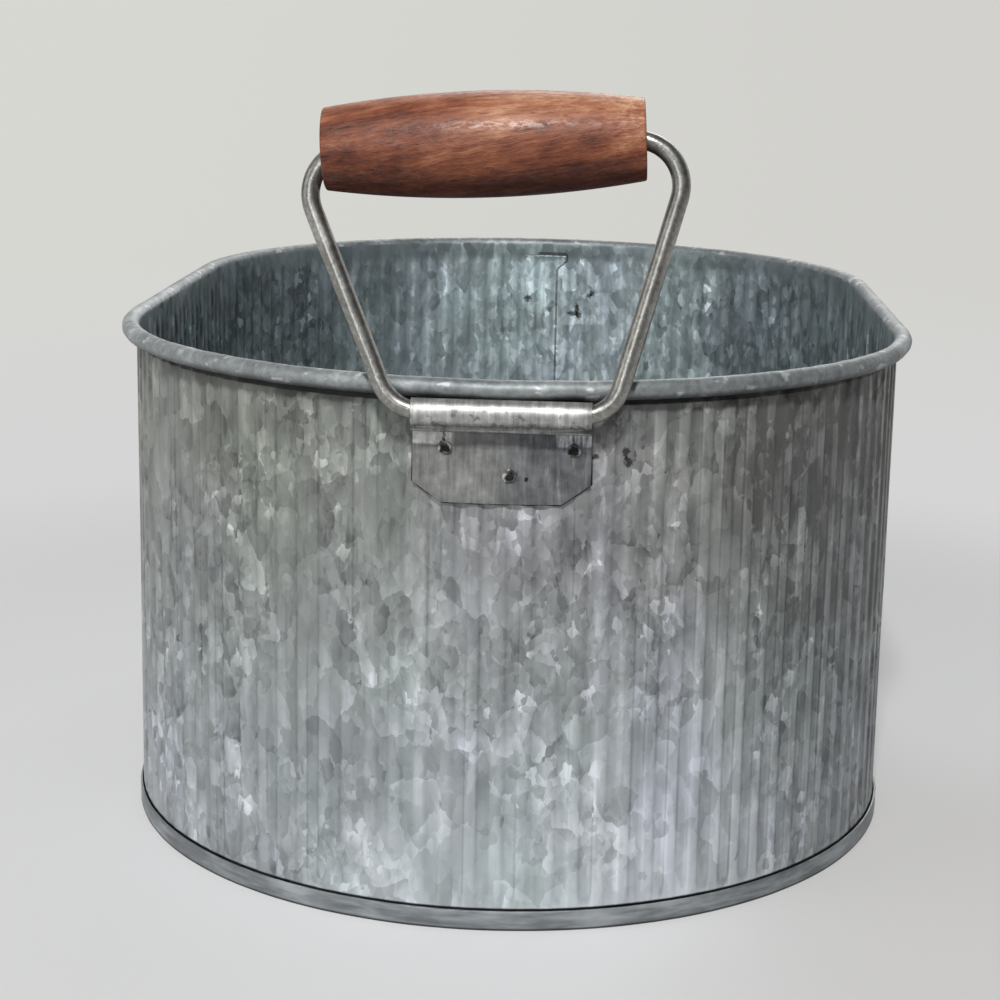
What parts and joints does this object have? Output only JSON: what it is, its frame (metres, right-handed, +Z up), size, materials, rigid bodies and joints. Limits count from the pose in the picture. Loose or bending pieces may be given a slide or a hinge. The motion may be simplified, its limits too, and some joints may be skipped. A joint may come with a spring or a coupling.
{
  "type": "storage caddy",
  "caption": "Oval ribbed sheet-metal tub with a rolled rim, a seamed base and a swinging wire bail with a turned wooden grip at each end.",
  "frame": {"origin": "middle of the foot's underside, in the plane that the tub stands on", "axes": "+Z up, +Y along the long axis towards the end whose handle hangs down, +X to the right seen from the end whose handle stands"},
  "size_m": [0.2606, 0.4075, 0.242],
  "materials": {
    "galvanised_wall": "galvanised sheet with a large spangle",
    "rim": "dull galvanised",
    "base": "dull galvanised",
    "plate": "bright brushed",
    "weld": "darkened by the weld",
    "wire": "drawn wire",
    "grip_wood": "stained and lacquered"
  },
  "bodies": {
    "tub": {"wall_sheet": "galvanised_wall", "rim_wire": "rim", "base_pan": "base", "front_hinge_plate": "plate", "front_weld_left": "weld", "front_weld_right": "weld", "front_weld_low": "weld", "back_hinge_plate": "plate", "back_weld_left": "weld", "back_weld_right": "weld", "back_weld_low": "weld"},
    "front_bail": {"front_bail_wire": "wire"},
    "front_handle": {"front_grip": "grip_wood"},
    "back_bail": {"back_bail_wire": "wire"},
    "back_handle": {"back_grip": "grip_wood"}
  },
  "joints": [
    {"name": "front_bail_swing", "type": "hinge", "parent": "tub", "child": "front_bail", "pos_m": [0.0017, -0.18965, 0.15442], "axis": [1, 0, 0], "range_deg": [0, 182.8]},
    {"name": "back_bail_swing", "type": "hinge", "parent": "tub", "child": "back_bail", "pos_m": [0.005, 0.18965, 0.15442], "axis": [1, 0, 0], "range_deg": [0, 174.1]},
    {"name": "front_grip_spin", "type": "hinge", "parent": "front_bail", "child": "front_handle", "pos_m": [-0.00483, -0.17598, 0.22699], "axis": [0.9984, 0.0103, 0.0549], "continuous": true},
    {"name": "back_grip_spin", "type": "hinge", "parent": "back_bail", "child": "back_handle", "pos_m": [0.01153, 0.19949, 0.08123], "axis": [0.9984, -0.0074, 0.0553], "continuous": true}
  ]
}
